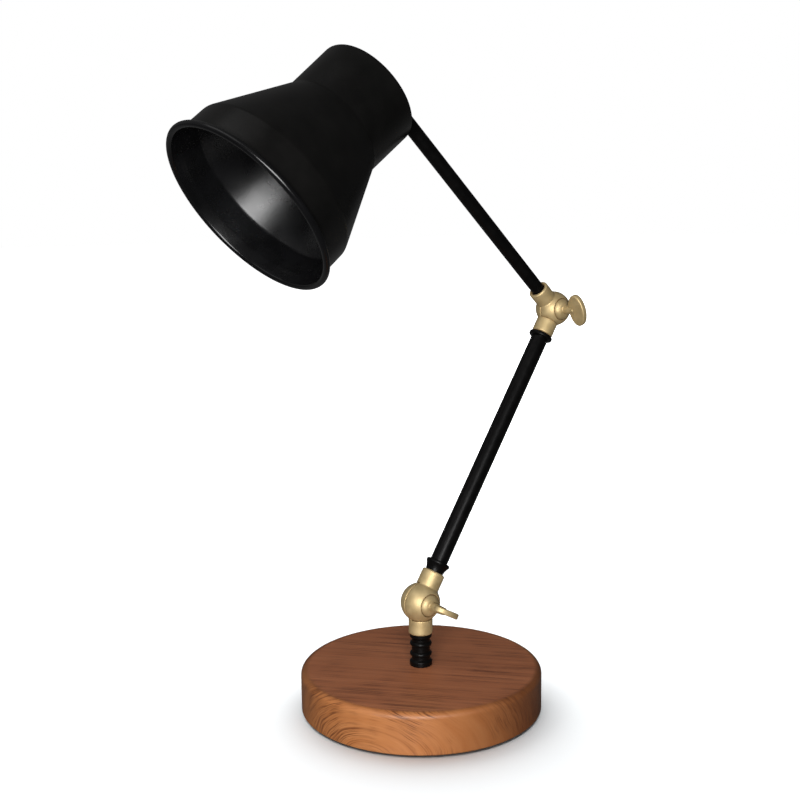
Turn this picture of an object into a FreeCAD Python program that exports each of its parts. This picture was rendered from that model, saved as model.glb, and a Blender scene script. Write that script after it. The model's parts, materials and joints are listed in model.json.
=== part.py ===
import FreeCAD, Part
import math
import os
import re
import Sketcher
from FreeCAD import Vector

# Industrial pipe table lamp, in millimetres and degrees.
# The origin is the middle of the underside, on the table, and +Z points up. The arms move in
# the XZ plane, the shade hangs towards -X, and the wing screws point towards -Y.

# Every size that can be set by itself. The sheet holds them all, under these names.
SIZES = {
    # wooden base with its weight and pad
    "base_radius": 87.5,
    "base_thickness": 29.5,
    "base_edge_radius": 4.0,
    "base_foot_bevel": 0.8,
    "hollow_radius": 68.0,
    "hollow_depth": 20.0,
    "pad_inset": 2.0,
    "pad_thickness": 1.2,
    "ballast_play": 0.6,
    "ballast_thickness": 9.0,
    # cord inlet at the back of the base
    "inlet_height": 8.2,
    "inlet_hole_radius": 4.5,
    "inlet_bore_radius": 3.2,
    "inlet_flange_radius": 6.5,
    "inlet_flange_thickness": 1.8,
    "inlet_seat_depth": 1.3,
    "inlet_flange_edge_radius": 0.6,
    # threaded pipes that hold the lamp together, with their nuts and washers
    "pipe_radius": 5.0,
    "pipe_bore_radius": 3.5,
    "thread_play": 0.05,
    "hole_play": 0.25,
    "nut_flats": 14.0,
    "nut_thickness": 4.0,
    "base_pipe_tail": 1.0,
    "washer_radius": 14.0,
    "washer_thickness": 1.6,
    # ribbed stem between the base and the lower knuckle
    "stem_flange_radius": 8.25,
    "stem_flange_thickness": 3.6,
    "stem_lip_thickness": 2.4,
    "stem_lip_radius": 8.05,
    "stem_waist_radius": 6.75,
    "stem_rib_rise": 1.3,
    "stem_rib_half_height": 1.9,
    "stem_low_groove": 2.2,
    "stem_middle_groove": 3.8,
    "stem_high_groove": 1.9,
    "stem_edge_radius": 0.8,
    # lower knuckle
    "lower_ball_radius": 14.4,
    "lower_foot_collar_radius": 8.75,
    "lower_foot_collar_reach": 23.2,
    "lower_arm_collar_radius": 8.55,
    "lower_arm_collar_reach": 24.0,
    "lower_wing_standoff": 15.1,
    "lower_wing_half_length": 6.8,
    "lower_wing_half_width": 10.6,
    "lower_wing_angle": 28.7,
    # elbow knuckle
    "elbow_ball_radius": 13.25,
    "elbow_low_collar_radius": 8.05,
    "elbow_low_collar_reach": 22.3,
    "elbow_high_collar_radius": 7.75,
    "elbow_high_collar_reach": 22.6,
    "elbow_wing_standoff": 12.65,
    "elbow_wing_half_length": 7.6,
    "elbow_wing_half_width": 12.2,
    "elbow_wing_angle": -107.0,
    # what both knuckles share
    "knuckle_wall": 2.4,
    "knuckle_seam": 0.3,
    "knuckle_swing_gap": 0.3,
    "knuckle_boss_radius": 4.6,
    "knuckle_back_skin": 2.5,
    "knuckle_seat_drop": 4.6,
    "collar_bevel": 0.8,
    "mouth_flare": 0.6,
    "mouth_depth": 1.0,
    "mouth_step": 0.2,
    "friction_washer_thickness": 0.8,
    "running_play": 0.05,
    "face_play": 0.03,
    # what both wing screws share
    "screw_radius": 3.0,
    "screw_flange_radius": 8.0,
    "screw_flange_edge": 1.2,
    "screw_flange_play": 0.3,
    "screw_dome_rise": 3.6,
    "screw_dome_arc": 5.3,
    "screw_tip_gap": 1.5,
    "screw_tip_bevel": 0.6,
    "screw_neck_radius": 3.5,
    "screw_neck_taper": 0.8,
    "screw_neck_bite": 4.4,
    "screw_neck_point": 1.5,
    "wing_thickness": 4.2,
    "wing_edge_radius": 1.0,
    # arms
    "lower_reach": 243.8,
    "lower_lean": 32.57,
    "lower_tube_radius": 6.5,
    "bell_length": 8.2,
    "bell_foot_radius": 6.7,
    "bell_lip_radius": 8.9,
    "bell_lip_thickness": 2.0,
    "bell_lip_edge_radius": 1.0,
    "bell_arc": 13.1,
    "bell_socket_depth": 5.2,
    "flange_thickness": 3.4,
    "flange_radius": 9.1,
    "flange_edge_radius": 1.36,
    "flange_socket_depth": 1.6,
    "tube_play": 0.05,
    "pipe_grip": 9.0,
    "pipe_end_gap": 0.5,
    "upper_reach": 227.1,
    "upper_lean": 46.0,
    "upper_tube_radius": 5.0,
    "upper_tube_bore_radius": 3.8,
    # head swivel behind the shade
    "swivel_gap": 1.6,
    "swivel_shoulder_thickness": 2.6,
    "swivel_plug_length": 12.0,
    "swivel_wire_radius": 2.0,
    "tongue_radius": 5.8,
    "tongue_half_thickness": 3.4,
    "tongue_wall": 1.4,
    "tongue_core_wall": 0.8,
    "tongue_neck_half_width": 3.6,
    "tongue_floor_gap": 1.0,
    "ear_gap": 0.15,
    "ear_thickness": 2.6,
    "ear_radius": 5.8,
    "cheek_half_width": 4.6,
    "fork_floor": 2.2,
    "fork_floor_radius": 7.5,
    "pivot_radius": 2.0,
    "pivot_head_radius": 3.4,
    "pivot_head_height": 1.9,
    "pivot_head_edge_radius": 1.1,
    "pivot_slot_width": 1.0,
    "pivot_slot_depth": 0.9,
    "pivot_tail": 0.6,
    "pivot_nut_flats": 7.0,
    "pivot_nut_thickness": 2.6,
    # shade
    "shade_dip": 38.6,
    "shade_wall": 1.0,
    "shade_length": 120.7,
    "shade_end_radius": 38.1,
    "shade_end_corner_radius": 3.6,
    "neck_length": 40.3,
    "neck_radius": 37.5,
    "neck_corner_radius": 6.0,
    "band_length": 23.1,
    "band_back_radius": 61.7,
    "band_front_radius": 61.9,
    "shoulder_corner_radius": 7.0,
    "flare_length": 7.0,
    "bead_radius": 2.17,
    "bead_join": 40.0,
    # lampholder
    "shade_washer_radius": 11.0,
    "shade_washer_thickness": 1.0,
    "holder_radius": 14.0,
    "holder_wall": 1.9,
    "holder_back_wall": 3.0,
    "holder_edge_radius": 2.4,
    "holder_boss_radius": 8.0,
    "holder_boss_height": 6.5,
    "holder_overlap": 2.6,
    "holder_mouth_gap": 0.5,
    "holder_ledge": 1.4,
    "holder_mouth_play": 1.4,
    "holder_mouth_wall": 1.8,
    "holder_mouth_edge_radius": 1.1,
    "holder_wire_room": 2.7,
    "insert_thickness": 3.2,
    "contact_thickness": 0.6,
    "contact_radius": 3.2,
    "contact_rivet_radius": 1.5,
    "contact_rivet_head": 2.4,
    "shell_wall": 0.35,
    "shell_rim_gap": 3.6,
    "shell_play": 0.3,
    # bulb
    "bulb_cap_radius": 6.9,
    "bulb_cap_height": 20.0,
    "bulb_tip_flat_radius": 2.2,
    "bulb_tip_radius": 4.4,
    "bulb_tip_step": 1.2,
    "bulb_tip_height": 3.0,
    "bulb_neck_radius": 7.6,
    "bulb_neck_height": 4.5,
    "bulb_collar_radius": 15.5,
    "bulb_collar_height": 17.0,
    "bulb_collar_arc": 23.8,
    "bulb_radius": 22.3,
    "bulb_length": 75.8,
    "bulb_wall": 1.0,
}

document = FreeCAD.newDocument("pipe_table_lamp")

sheet = document.addObject("Spreadsheet::Sheet", "Sizes")
for row, (alias, value) in enumerate(SIZES.items(), start=1):
    sheet.set(f"A{row}", alias)
    sheet.set(f"B{row}", str(value))
    sheet.setAlias(f"B{row}", alias)
document.recompute()

ALIASES = re.compile(r"\b(" + "|".join(SIZES) + r")\b")


def linked(formula):
    """The formula with each size written as a cell of the sheet."""
    return ALIASES.sub(r"Sizes.\1", formula)


def number(formula):
    """What the formula comes to with the present sizes."""
    return float(sheet.evalExpression(linked(formula)))


def bind(thing, **formulas):
    for name, formula in formulas.items():
        thing.setExpression(name, linked(formula))


def put(thing, x="0", y="0", z="0", axis="0; 1; 0", turn="0"):
    """Tie a piece's place and turn to the sheet."""
    bind(thing, Placement=f"placement(vector({x}; {y}; {z}); rotation(vector({axis}); {turn}))")
    return thing


# Places on the lamp. Each is the x, z and turn about Y of a piece's own frame.
BASE_TOP = "pad_thickness + base_thickness"
TABLE = dict()
STEM_LIP_LOW = ("(stem_flange_thickness + stem_low_groove + stem_middle_groove + stem_high_groove"
                " + 2 * stem_rib_rise + 4 * stem_rib_half_height)")
STEM_TOP = f"{BASE_TOP} + {STEM_LIP_LOW} + stem_lip_thickness"
JOINT_Z = f"{STEM_TOP} + lower_foot_collar_reach"
LOWER_JOINT = dict(z=JOINT_Z)
LOWER_ARM = dict(z=JOINT_Z, turn="lower_lean")
ELBOW_X = "lower_reach * sin(lower_lean)"
ELBOW_Z = f"{JOINT_Z} + lower_reach * cos(lower_lean)"
ELBOW_LOW = dict(x=ELBOW_X, z=ELBOW_Z, turn="lower_lean")
ELBOW_HIGH = dict(x=ELBOW_X, z=ELBOW_Z, turn="0 - upper_lean")
PIVOT_X = f"{ELBOW_X} - upper_reach * sin(upper_lean)"
PIVOT_Z = f"{ELBOW_Z} + upper_reach * cos(upper_lean)"
ARM_END = dict(x=PIVOT_X, z=PIVOT_Z, turn="0 - upper_lean")
HEAD = dict(x=PIVOT_X, z=PIVOT_Z, turn="0 - 90 - shade_dip")

# How far from the middle of a knuckle the pipe or tube in its collar ends, short of the ball
LOWER_CLEAR = "lower_ball_radius + knuckle_swing_gap + pipe_end_gap"
ELBOW_CLEAR = "elbow_ball_radius + knuckle_swing_gap + pipe_end_gap"

# How far a cutter runs on past the face that it opens
PAST = "1"

nodes = []


def node(thing, name, place):
    """Name a finished sub-part and put it where it belongs on the lamp."""
    thing.Label = name
    put(thing, **place)
    nodes.append(thing)
    return thing


def primitive(kind, name, at=None, **sizes):
    """A Part primitive whose sizes, and place if given, come from the sheet."""
    thing = document.addObject("Part::" + kind, name)
    bind(thing, **sizes)
    if at:
        put(thing, **at)
    return thing


def crosswise(y, x="0", z="0"):
    """A place whose own +Z points along the lamp's +Y."""
    return dict(x=x, y=y, z=z, axis="1; 0; 0", turn="0 - 90")


def joined(name, *pieces):
    whole = document.addObject("Part::MultiFuse", name)
    whole.Shapes = list(pieces)
    return whole


def cut_from(name, whole, *tools):
    """The whole with every tool taken out of it."""
    result = document.addObject("Part::Cut", name)
    result.Base = whole
    result.Tool = tools[0] if len(tools) == 1 else joined(name + "_tools", *tools)
    return result


def arc_centre(start, end, radius, bulge):
    """Centre of the shorter arc from start to end. A bulge of 1 lies left of the way there."""
    chord = end - start
    middle = (start + end) / 2
    left = Vector(-chord.y, chord.x, 0).normalize()
    depth = math.sqrt(radius ** 2 - (chord.Length / 2) ** 2)
    return middle - left * depth * bulge


def turned(name, outline):
    """A body of revolution about Z from a closed outline of (r, z) corners.

    A corner may also hold the radius and the bulge of an arc that leads to it.
    """
    body = document.addObject("PartDesign::Body", name)
    sketch = body.newObject("Sketcher::SketchObject", name + "_outline")
    plane = [item for item in body.Origin.OriginFeatures if item.Role == "XZ_Plane"][0]
    sketch.AttachmentSupport = [(plane, "")]
    sketch.MapMode = "FlatFace"
    corners = [Vector(number(corner[0]), number(corner[1]), 0) for corner in outline]
    ends = []
    for index, corner in enumerate(outline):
        start, end = corners[index - 1], corners[index]
        if len(corner) == 2:
            geometry = sketch.addGeometry(Part.LineSegment(start, end), False)
            ends.append((geometry, 1, 2))
            continue
        radius = number(corner[2])
        centre = arc_centre(start, end, radius, corner[3])
        first, last = (end, start) if corner[3] > 0 else (start, end)
        angles = [math.atan2(point.y - centre.y, point.x - centre.x) for point in (first, last)]
        if angles[1] < angles[0]:
            angles[1] += 2 * math.pi
        circle = Part.Circle(centre, Vector(0, 0, 1), radius)
        geometry = sketch.addGeometry(Part.ArcOfCircle(circle, *angles), False)
        ends.append((geometry, 2, 1) if corner[3] > 0 else (geometry, 1, 2))
        fixed = sketch.addConstraint(Sketcher.Constraint("Radius", geometry, radius))
        sketch.setExpression(f"Constraints[{fixed}]", linked(corner[2]))
    for index, (geometry, _, finish) in enumerate(ends):
        following, start, _ = ends[(index + 1) % len(ends)]
        sketch.addConstraint(Sketcher.Constraint("Coincident", geometry, finish, following, start))
        for kind, formula, at in zip(("DistanceX", "DistanceY"), outline[index][:2], corners[index]):
            if formula == "0":
                axis = -2 if kind == "DistanceX" else -1
                sketch.addConstraint(Sketcher.Constraint("PointOnObject", geometry, finish, axis))
                continue
            constraint = Sketcher.Constraint(kind, -1, 1, geometry, finish, at)
            fixed = sketch.addConstraint(constraint)
            sketch.setExpression(f"Constraints[{fixed}]", linked(formula))
    turn = body.newObject("PartDesign::Revolution", name + "_turn")
    turn.Profile = sketch
    turn.ReferenceAxis = (sketch, ["V_Axis"])
    turn.Angle = 360
    sketch.Visibility = False
    document.recompute()
    return body


def ring(name, inner, outer, low, high):
    """A plain tube, ring or washer about Z."""
    return turned(name, [(inner, low), (outer, low), (outer, high), (inner, high)])


def rounded(body, name, radius, *circles):
    """Fillet a body's round edges, each given by its radius and its height."""
    base = body.Tip
    wanted = [(number(r), number(z)) for r, z in circles]
    names = []
    for index, edge in enumerate(base.Shape.Edges, start=1):
        if not isinstance(edge.Curve, Part.Circle):
            continue
        for r, z in wanted:
            if abs(edge.Curve.Radius - r) < 0.01 and abs(edge.Curve.Center.z - z) < 0.01:
                names.append(f"Edge{index}")
    if len(names) != len(circles):
        raise ValueError(f"{name}: {len(names)} edges found for {len(circles)} places")
    fillet = body.newObject("PartDesign::Fillet", name)
    fillet.Base = (base, names)
    bind(fillet, Radius=radius)
    body.Tip = fillet
    document.recompute()
    return fillet


def edge_round(size, wall, sides=1):
    """A fillet's radius, held below what its wall has room for when one or both edges have it."""
    return f"min({size}; 0.8 / {sides} * {wall})"


def upright(z):
    """A place at this height whose own +Z points up."""
    return dict(z=z)


def hexagon_nut(name, flats, hole, low, thickness, way=upright):
    """A hexagonal nut, made from a prism with its hole cut through."""
    prism = primitive("Prism", name + "_prism", at=way(low),
                      Circumradius=f"{flats} / 2 / cos(30)", Height=thickness)
    prism.Polygon = 6
    drill = primitive("Cylinder", name + "_hole", at=way(f"{low} - {PAST}"),
                      Radius=hole, Height=f"{thickness} + 2 * {PAST}")
    return cut_from(name, prism, drill)


# Base: a turned wooden disc, hollow underneath for an iron weight, on a soft pad
foot_pad = ring("foot_pad_disc", "0", "base_radius - pad_inset", "0", "pad_thickness")
node(foot_pad, "foot_pad", TABLE)

HOLLOW_TOP = "pad_thickness + hollow_depth"
base_blank = turned("base_blank", [
    ("pipe_radius + hole_play", HOLLOW_TOP),
    ("hollow_radius", HOLLOW_TOP),
    ("hollow_radius", "pad_thickness"),
    ("base_radius - base_foot_bevel", "pad_thickness"),
    ("base_radius", "pad_thickness + base_foot_bevel"),
    ("base_radius", BASE_TOP),
    ("pipe_radius + hole_play", BASE_TOP),
])
rounded(base_blank, "base_edge", "base_edge_radius", ("base_radius", BASE_TOP))


def backwards(x):
    """A place at the inlet's height whose own +Z points along the lamp's +X."""
    return dict(x=x, z="inlet_height", turn="90")


SEAT_X = "base_radius - inlet_seat_depth"
inlet_hole = primitive("Cylinder", "inlet_hole", at=backwards(f"hollow_radius - {PAST}"),
                       Radius="inlet_hole_radius",
                       Height=f"base_radius - hollow_radius + 2 * {PAST}")
inlet_seat = primitive("Cylinder", "inlet_seat", at=backwards(SEAT_X),
                       Radius="inlet_flange_radius + hole_play",
                       Height=f"inlet_seat_depth + {PAST}")
base_disc = cut_from("base_disc_cut", base_blank, inlet_hole, inlet_seat)
node(base_disc, "base_disc", TABLE)

INLET_TAIL = "0 - (base_radius - inlet_seat_depth - hollow_radius)"
cord_grommet = turned("cord_grommet_turned", [
    ("inlet_bore_radius", INLET_TAIL),
    ("inlet_hole_radius - tube_play", INLET_TAIL),
    ("inlet_hole_radius - tube_play", "0"),
    ("inlet_flange_radius", "0"),
    ("inlet_flange_radius", "inlet_flange_thickness"),
    ("inlet_bore_radius", "inlet_flange_thickness"),
])
rounded(cord_grommet, "cord_grommet_lip",
        edge_round("inlet_flange_edge_radius", "inlet_flange_thickness"),
        ("inlet_flange_radius", "inlet_flange_thickness"),
        ("inlet_bore_radius", "inlet_flange_thickness"))
node(cord_grommet, "cord_grommet", backwards(SEAT_X))

BALLAST_LOW = f"{HOLLOW_TOP} - ballast_thickness"
WASHER_LOW = f"{BALLAST_LOW} - washer_thickness"
ballast_plate = ring("ballast_ring", "pipe_radius + hole_play", "hollow_radius - ballast_play",
                     BALLAST_LOW, HOLLOW_TOP)
node(ballast_plate, "ballast_plate", TABLE)
base_washer = ring("base_washer_ring", "pipe_radius + hole_play", "washer_radius",
                   WASHER_LOW, BALLAST_LOW)
node(base_washer, "base_washer", TABLE)
NUT_LOW = f"{WASHER_LOW} - nut_thickness"
base_nut = hexagon_nut("base_nut_hexagon", "nut_flats", "pipe_radius + thread_play",
                       NUT_LOW, "nut_thickness")
node(base_nut, "base_nut", TABLE)
base_pipe = ring("base_pipe_tube", "pipe_bore_radius", "pipe_radius",
                 f"{NUT_LOW} - base_pipe_tail", f"{JOINT_Z} - ({LOWER_CLEAR})")
node(base_pipe, "base_threaded_pipe", TABLE)

# Stem: a turned black sleeve with two round ribs between a flange and a lip
RIB_ARC = "(stem_rib_half_height ^ 2 + stem_rib_rise ^ 2) / (2 * stem_rib_rise)"
LOW_RIB = "(stem_flange_thickness + stem_rib_rise + stem_low_groove + stem_rib_half_height)"
HIGH_RIB = f"({LOW_RIB} + stem_middle_groove + 2 * stem_rib_half_height)"


def rib(height):
    """The corners of one round rib that stands out of the stem's waist."""
    return [
        ("stem_waist_radius", f"{height} - stem_rib_half_height"),
        ("stem_waist_radius", f"{height} + stem_rib_half_height", RIB_ARC, -1),
    ]


stem_sleeve = turned("stem_sleeve_turned", [
    ("pipe_radius + hole_play", "0"),
    ("stem_flange_radius", "0"),
    ("stem_flange_radius", "stem_flange_thickness"),
    ("stem_waist_radius", "stem_flange_thickness + stem_rib_rise"),
    *rib(LOW_RIB),
    *rib(HIGH_RIB),
    ("stem_waist_radius", f"{STEM_LIP_LOW} - stem_rib_rise"),
    ("stem_lip_radius", STEM_LIP_LOW),
    ("stem_lip_radius", f"{STEM_LIP_LOW} + stem_lip_thickness"),
    ("pipe_radius + hole_play", f"{STEM_LIP_LOW} + stem_lip_thickness"),
])
rounded(stem_sleeve, "stem_sleeve_edges", "stem_edge_radius",
        ("stem_flange_radius", "0"),
        ("stem_flange_radius", "stem_flange_thickness"),
        ("stem_lip_radius", STEM_LIP_LOW))
node(stem_sleeve, "stem_sleeve", dict(z=BASE_TOP))


# Knuckles: each is a hollow brass ball, split across the screw, with a collar on each half


def collar(name, radius, reach, way, bore, mouth):
    """A bored collar along Z that starts at the ball's middle. A way of -1 points it down."""
    tip = f"{way} * {reach}"
    bevel = f"{way} * ({reach} - collar_bevel)"
    outline = [
        (bore, "0"),
        (radius, "0"),
        (radius, bevel),
        (f"{radius} - collar_bevel", tip),
    ]
    if mouth:
        outline.append((f"{bore} + mouth_flare", tip))
        outline.append((f"{bore} + mouth_step", f"{way} * ({reach} - mouth_depth)"))
        outline.append((bore, f"{way} * ({reach} - mouth_depth)"))
    else:
        outline.append((bore, tip))
    return turned(name, outline)


def knuckle_half(name, ball, collar_radius, reach, side, held="pipe_radius", mouth=False):
    """One half of a knuckle. A side of 1 is the tapped back half, which holds the screw.

    The collar is bored for the pipe or tube whose radius is held.
    """
    way = -side
    bore = f"{held} + thread_play"
    facing = "0" if side > 0 else "180"
    shell = primitive("Sphere", name + "_ball", at=dict(axis="0; 0; 1", turn=facing), Radius=ball)
    shell.Angle3 = 180
    neck = collar(name + "_collar", collar_radius, reach, way, bore, mouth)
    neck_bore = primitive("Cylinder", name + "_bore",
                          at=dict(z=f"{way} * knuckle_boss_radius", axis="1; 0; 0",
                                  turn="180" if way < 0 else "0"),
                          Radius=bore, Height=ball)
    hollow = primitive("Sphere", name + "_hollow", Radius=f"{ball} - knuckle_wall")
    boss = primitive("Cylinder", name + "_boss", at=crosswise(f"0 - {ball}"),
                     Radius="knuckle_boss_radius", Height=f"2 * {ball}")
    solid_parts = [boss]
    if side < 0:
        solid_parts.append(primitive("Cylinder", name + "_web", at=crosswise(f"0 - {ball}"),
                                     Radius="screw_flange_radius + knuckle_wall",
                                     Height="knuckle_seat_drop + knuckle_wall"))
    room = cut_from(name + "_room", hollow, *solid_parts)
    swing = primitive("Sphere", name + "_swing",
                      at=dict(y=f"{side} * knuckle_seam / 2", axis="0; 0; 1",
                              turn="180" if side > 0 else "0"),
                      Radius=f"{ball} + knuckle_swing_gap")
    swing.Angle3 = 180
    face = primitive("Cylinder", name + "_face",
                     at=crosswise("0 - friction_washer_thickness / 2"),
                     Radius="knuckle_boss_radius + hole_play", Height="friction_washer_thickness")
    whole = joined(name + "_whole", shell, neck)
    tools = [room, neck_bore, swing, face]
    if side > 0:
        tools.append(primitive("Cylinder", name + "_tapping", at=crosswise("0"),
                               Radius="screw_radius + running_play",
                               Height=f"{ball} - knuckle_back_skin"))
    else:
        tools.append(primitive("Cylinder", name + "_screw_hole", at=crosswise(f"0 - {ball}"),
                               Radius="screw_radius + running_play", Height=ball))
        tools.append(primitive("Cylinder", name + "_seat", at=crosswise(f"0 - {ball} - {PAST}"),
                               Radius="screw_flange_radius + screw_flange_play",
                               Height=f"knuckle_seat_drop + {PAST}"))
    return cut_from(name, whole, *tools)


def friction_washer(name):
    """The fibre washer between the bosses of the two halves."""
    low = "0 - friction_washer_thickness / 2 + face_play"
    disc = primitive("Cylinder", name + "_disc", at=crosswise(low),
                     Radius="knuckle_boss_radius",
                     Height="friction_washer_thickness - face_play")
    hole = primitive("Cylinder", name + "_hole", at=crosswise(f"{low} - {PAST}"),
                     Radius="screw_radius + running_play",
                     Height=f"friction_washer_thickness + 2 * {PAST}")
    return cut_from(name, disc, hole)


def wing_screw(name, ball, standoff, half_length, half_width):
    """A cast screw with a domed flange and a flat oval wing, pointing along -Y."""
    seat = f"({ball} - knuckle_seat_drop + face_play)"
    wing_root = f"({ball} + {standoff} - {half_length})"
    shank_end = f"0 - ({ball} - knuckle_back_skin - screw_tip_gap)"
    shaft = turned(name + "_shaft", [
        ("0", shank_end),
        ("screw_radius - screw_tip_bevel", shank_end),
        ("screw_radius", f"{shank_end} + screw_tip_bevel"),
        ("screw_radius", seat),
        ("screw_flange_radius", seat),
        ("screw_flange_radius", f"{seat} + screw_flange_edge"),
        ("screw_neck_radius", f"{seat} + screw_flange_edge + screw_dome_rise",
         "screw_dome_arc", -1),
        ("screw_neck_radius - screw_neck_taper", f"{wing_root} + screw_neck_bite"),
        ("0", f"{wing_root} + screw_neck_bite + screw_neck_point"),
    ])
    put(shaft, axis="1; 0; 0", turn="90")
    oval = document.addObject("Part::Ellipse", name + "_oval")
    bind(oval, MajorRadius=f"max({half_width}; {half_length})",
         MinorRadius=f"min({half_width}; {half_length})")
    put(oval, y=f"0 - {ball} - {standoff}", axis="0; 0; 1",
        turn=f"{half_length} > {half_width} ? 90 : 0")
    wing = document.addObject("Part::Extrusion", name + "_plate")
    wing.Base = oval
    wing.DirMode = "Normal"
    wing.Solid = True
    wing.Symmetric = True
    bind(wing, LengthFwd="wing_thickness")
    document.recompute()
    soft = document.addObject("Part::Fillet", name + "_wing")
    soft.Base = wing
    round_edge = number("wing_edge_radius")
    soft.Edges = [(index, round_edge, round_edge)
                  for index, edge in enumerate(wing.Shape.Edges, start=1)
                  if edge.Closed]
    return joined(name, shaft, soft)


lower_foot = knuckle_half("lower_knuckle_foot_half", "lower_ball_radius",
                          "lower_foot_collar_radius", "lower_foot_collar_reach", 1)
node(lower_foot, "lower_knuckle_back_half", LOWER_JOINT)
node(friction_washer("lower_washer"), "lower_friction_washer", LOWER_JOINT)
lower_screw = wing_screw("lower_screw", "lower_ball_radius", "lower_wing_standoff",
                         "lower_wing_half_length", "lower_wing_half_width")
node(lower_screw, "lower_wing_screw", dict(LOWER_JOINT, turn="lower_wing_angle"))
lower_front = knuckle_half("lower_knuckle_arm_half", "lower_ball_radius",
                           "lower_arm_collar_radius", "lower_arm_collar_reach", -1)
node(lower_front, "lower_knuckle_front_half", LOWER_ARM)

elbow_back = knuckle_half("elbow_knuckle_back", "elbow_ball_radius", "elbow_low_collar_radius",
                          "elbow_low_collar_reach", 1)
node(elbow_back, "elbow_knuckle_back_half", ELBOW_LOW)
node(friction_washer("elbow_washer"), "elbow_friction_washer", ELBOW_LOW)
elbow_screw = wing_screw("elbow_screw", "elbow_ball_radius", "elbow_wing_standoff",
                         "elbow_wing_half_length", "elbow_wing_half_width")
node(elbow_screw, "elbow_wing_screw", dict(ELBOW_LOW, turn="elbow_wing_angle"))
elbow_front = knuckle_half("elbow_knuckle_front", "elbow_ball_radius", "elbow_high_collar_radius",
                           "elbow_high_collar_reach", -1, held="upper_tube_radius", mouth=True)
node(elbow_front, "elbow_knuckle_front_half", ELBOW_HIGH)

# Lower arm: a black tube between a bell at its foot and a round flange at its top. A short
# threaded pipe joins each end to the collar that it stands on.
BELL_LOW = "lower_arm_collar_reach"
BELL_FLOOR = f"{BELL_LOW} + bell_length - bell_socket_depth"
bell = turned("arm_bell_turned", [
    ("pipe_radius + hole_play", BELL_LOW),
    ("bell_foot_radius", BELL_LOW),
    ("bell_lip_radius", f"{BELL_LOW} + bell_length - bell_lip_thickness", "bell_arc", 1),
    ("bell_lip_radius", f"{BELL_LOW} + bell_length"),
    ("lower_tube_radius + tube_play", f"{BELL_LOW} + bell_length"),
    ("lower_tube_radius + tube_play", BELL_FLOOR),
    ("pipe_radius + hole_play", BELL_FLOOR),
])
rounded(bell, "arm_bell_lip", edge_round("bell_lip_edge_radius", "bell_lip_thickness"),
        ("bell_lip_radius", f"{BELL_LOW} + bell_length"))
node(bell, "lower_arm_bottom_ferrule", LOWER_ARM)

FLANGE_HIGH = "lower_reach - elbow_low_collar_reach"
FLANGE_LOW = f"{FLANGE_HIGH} - flange_thickness"
flange = turned("arm_flange_turned", [
    ("pipe_radius + hole_play", FLANGE_HIGH),
    ("flange_radius", FLANGE_HIGH),
    ("flange_radius", FLANGE_LOW),
    ("lower_tube_radius + tube_play", FLANGE_LOW),
    ("lower_tube_radius + tube_play", f"{FLANGE_LOW} + flange_socket_depth"),
    ("pipe_radius + hole_play", f"{FLANGE_LOW} + flange_socket_depth"),
])
rounded(flange, "arm_flange_edge", edge_round("flange_edge_radius", "flange_thickness", sides=2),
        ("flange_radius", FLANGE_HIGH), ("flange_radius", FLANGE_LOW))
node(flange, "lower_arm_top_ferrule", LOWER_ARM)

TUBE_HIGH = f"{FLANGE_LOW} + flange_socket_depth"
lower_tube = ring("lower_tube_ring", "pipe_radius + thread_play", "lower_tube_radius",
                  BELL_FLOOR, TUBE_HIGH)
node(lower_tube, "lower_arm_tube", LOWER_ARM)
lower_pipe = ring("lower_pipe_ring", "pipe_bore_radius", "pipe_radius",
                  LOWER_CLEAR, f"{BELL_FLOOR} + pipe_grip")
node(lower_pipe, "lower_arm_bottom_threaded_pipe", LOWER_ARM)
upper_pipe = ring("upper_pipe_ring", "pipe_bore_radius", "pipe_radius",
                  f"{TUBE_HIGH} - pipe_grip", f"lower_reach - ({ELBOW_CLEAR})")
node(upper_pipe, "lower_arm_top_threaded_pipe", LOWER_ARM)

# Upper arm: a thinner black tube, screwed straight into the mouth of the elbow
SWIVEL_REACH = "(ear_radius + swivel_gap + swivel_shoulder_thickness)"
upper_tube = ring("upper_tube_ring", "upper_tube_bore_radius", "upper_tube_radius",
                  ELBOW_CLEAR, f"upper_reach - {SWIVEL_REACH}")
node(upper_tube, "upper_arm_tube", ELBOW_HIGH)

# Head swivel: a hollow tongue on the arm, held between the two ears of a fork on the shade
TONGUE_WIDTH = "2 * tongue_half_thickness"
TONGUE_LOW = f"0 - {SWIVEL_REACH} - swivel_plug_length"
CHAMBER_HALF = "(tongue_half_thickness - tongue_wall)"
CORE_RADIUS = "pivot_radius + tongue_core_wall"
tongue_whole = joined(
    "tongue_whole",
    primitive("Cylinder", "tongue_eye", at=crosswise("0 - tongue_half_thickness"),
              Radius="tongue_radius", Height=TONGUE_WIDTH),
    primitive("Box", "tongue_neck",
              at=dict(x="0 - tongue_neck_half_width", y="0 - tongue_half_thickness",
                      z=f"0 - {SWIVEL_REACH}"),
              Length="2 * tongue_neck_half_width", Width=TONGUE_WIDTH, Height=SWIVEL_REACH),
    primitive("Cylinder", "tongue_shoulder", at=dict(z=f"0 - {SWIVEL_REACH}"),
              Radius="upper_tube_radius", Height="swivel_shoulder_thickness"),
    primitive("Cylinder", "tongue_plug", at=dict(z=TONGUE_LOW),
              Radius="upper_tube_bore_radius - tube_play", Height="swivel_plug_length"),
)
wire_way = primitive("Cylinder", "tongue_wire_way", at=dict(z=f"{TONGUE_LOW} - {PAST}"),
                     Radius="swivel_wire_radius",
                     Height=f"{SWIVEL_REACH} + swivel_plug_length + {PAST}")
wire_chamber = primitive("Cylinder", "tongue_chamber", at=crosswise(f"0 - {CHAMBER_HALF}"),
                         Radius="tongue_radius - tongue_wall", Height=f"2 * {CHAMBER_HALF}")
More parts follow.
